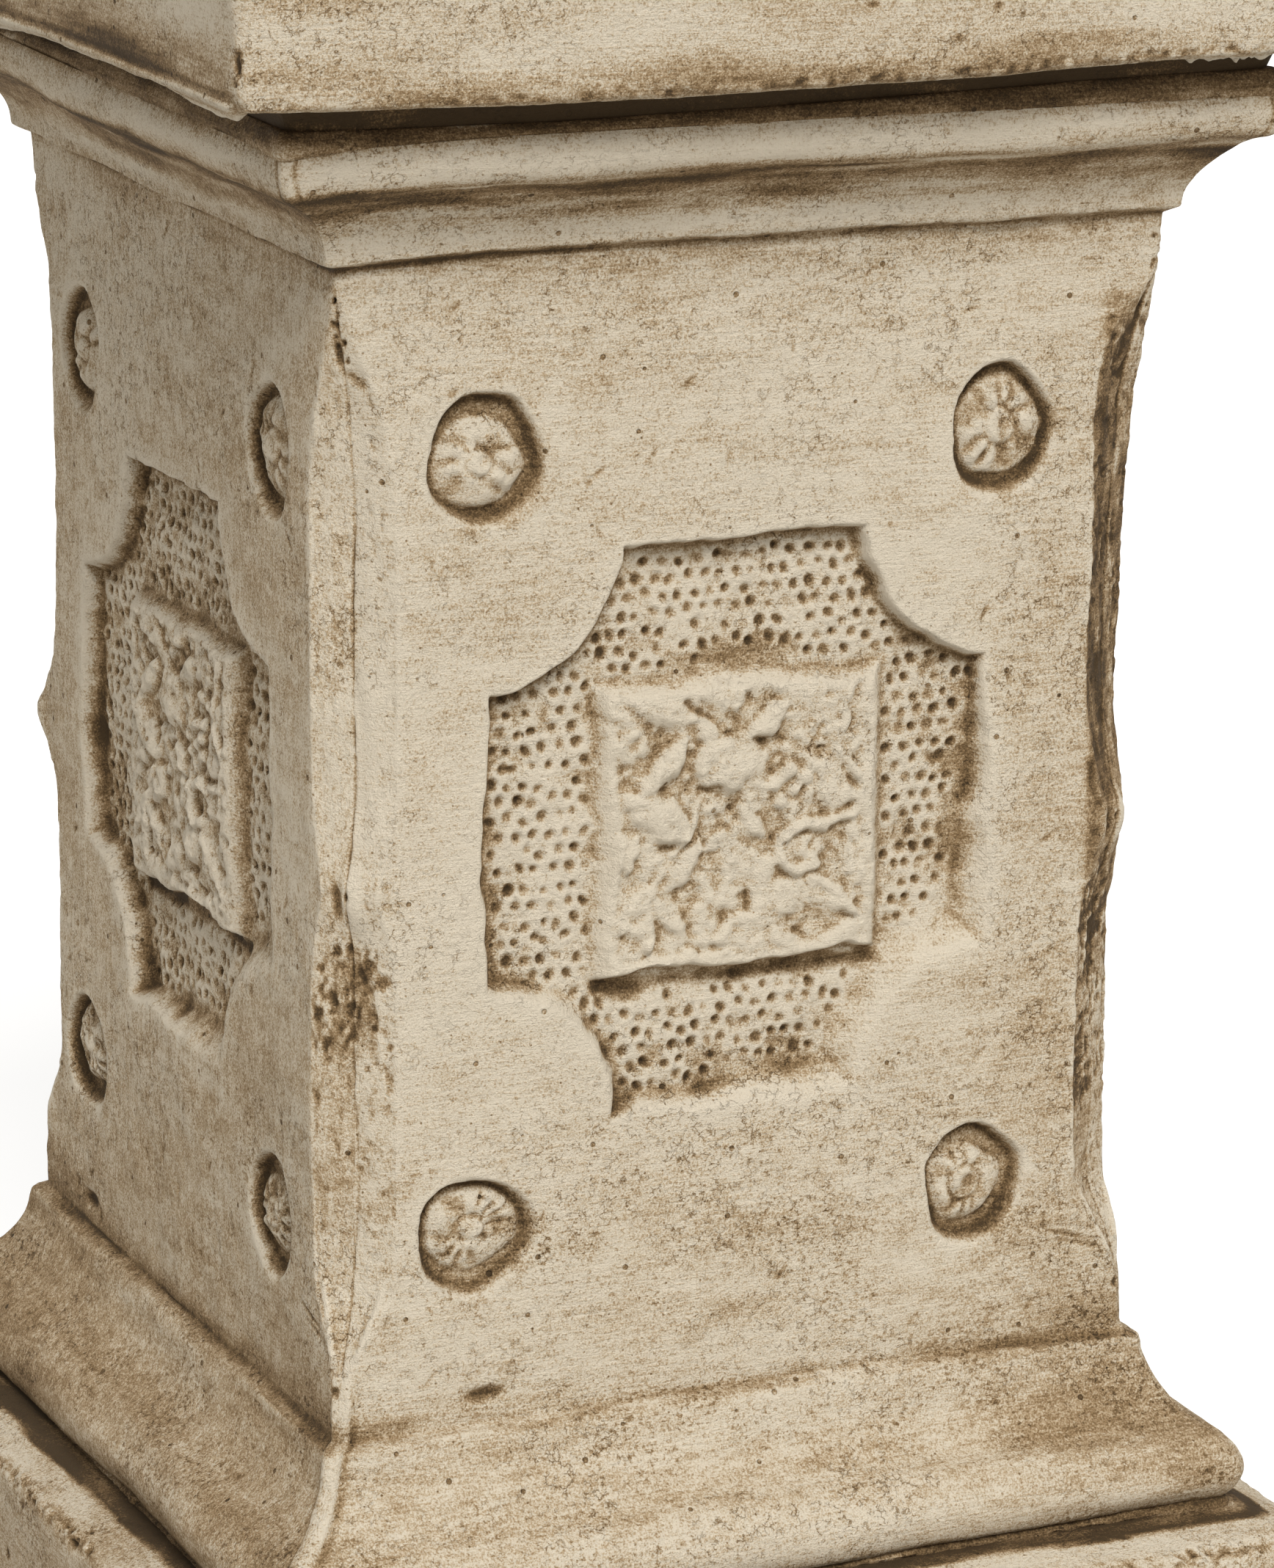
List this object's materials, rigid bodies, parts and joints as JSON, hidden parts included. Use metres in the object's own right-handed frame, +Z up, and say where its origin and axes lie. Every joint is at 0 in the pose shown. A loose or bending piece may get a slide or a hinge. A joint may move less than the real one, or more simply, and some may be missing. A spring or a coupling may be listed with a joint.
{
  "type": "baptismal font",
  "caption": "Square carved stone font: plinth, hollow panelled shaft with stopped-chamfer corners and rosettes, basin block with a round lined bowl, lift-out drain plug.",
  "frame": {"origin": "centre of the plinth's underside, on the floor", "axes": "+Z up, -Y towards the front panel, +X to the right of the front panel"},
  "size_m": [0.453, 0.453, 0.9034],
  "materials": {
    "cast_stone": "matt, cream with a rubbed brown wash",
    "basin_stone": "matt, cream with a rubbed brown wash",
    "mortar": "rough, stained dark brown",
    "plaster": "rough white plaster",
    "lead": "dull grey",
    "iron": "lightly rusted",
    "bowl_brass": "aged, hand burnished",
    "brass": "turned, slightly dull",
    "copper": "drawn tube, tarnished",
    "rubber": "matt black",
    "clay": "unglazed"
  },
  "bodies": {
    "stonework": {"plinth_block": "cast_stone", "lower_mortar_bed": "mortar", "lower_lead_shims": "lead", "lower_dowels": "iron", "front_panel": "cast_stone", "right_panel": "cast_stone", "back_panel": "cast_stone", "left_panel": "cast_stone", "corner_fillets": "plaster", "lower_corner_cramps": "iron", "upper_corner_cramps": "iron", "upper_mortar_bed": "mortar", "upper_lead_shims": "lead", "upper_dowels": "iron", "basin_block": "basin_stone", "bowl_liner": "bowl_brass", "waste_gasket": "rubber", "waste_body": "brass", "backing_washer": "rubber", "back_nut": "brass", "coupling_nut": "brass", "drain_pipe": "copper", "pipe_sleeve": "clay"},
    "plug": {"drain_plug": "brass", "plug_seal": "rubber"},
    "ring": {"pull_ring": "brass"}
  },
  "joints": [
    {"name": "plug_lift", "type": "slide", "parent": "stonework", "child": "plug", "axis": [0, 0, 1], "range_m": [0, 0.15]},
    {"name": "ring_swing", "type": "hinge", "parent": "plug", "child": "ring", "pos_m": [0, 0, 0.78749], "axis": [-1, 0, 0], "range_deg": [0, 214]}
  ]
}
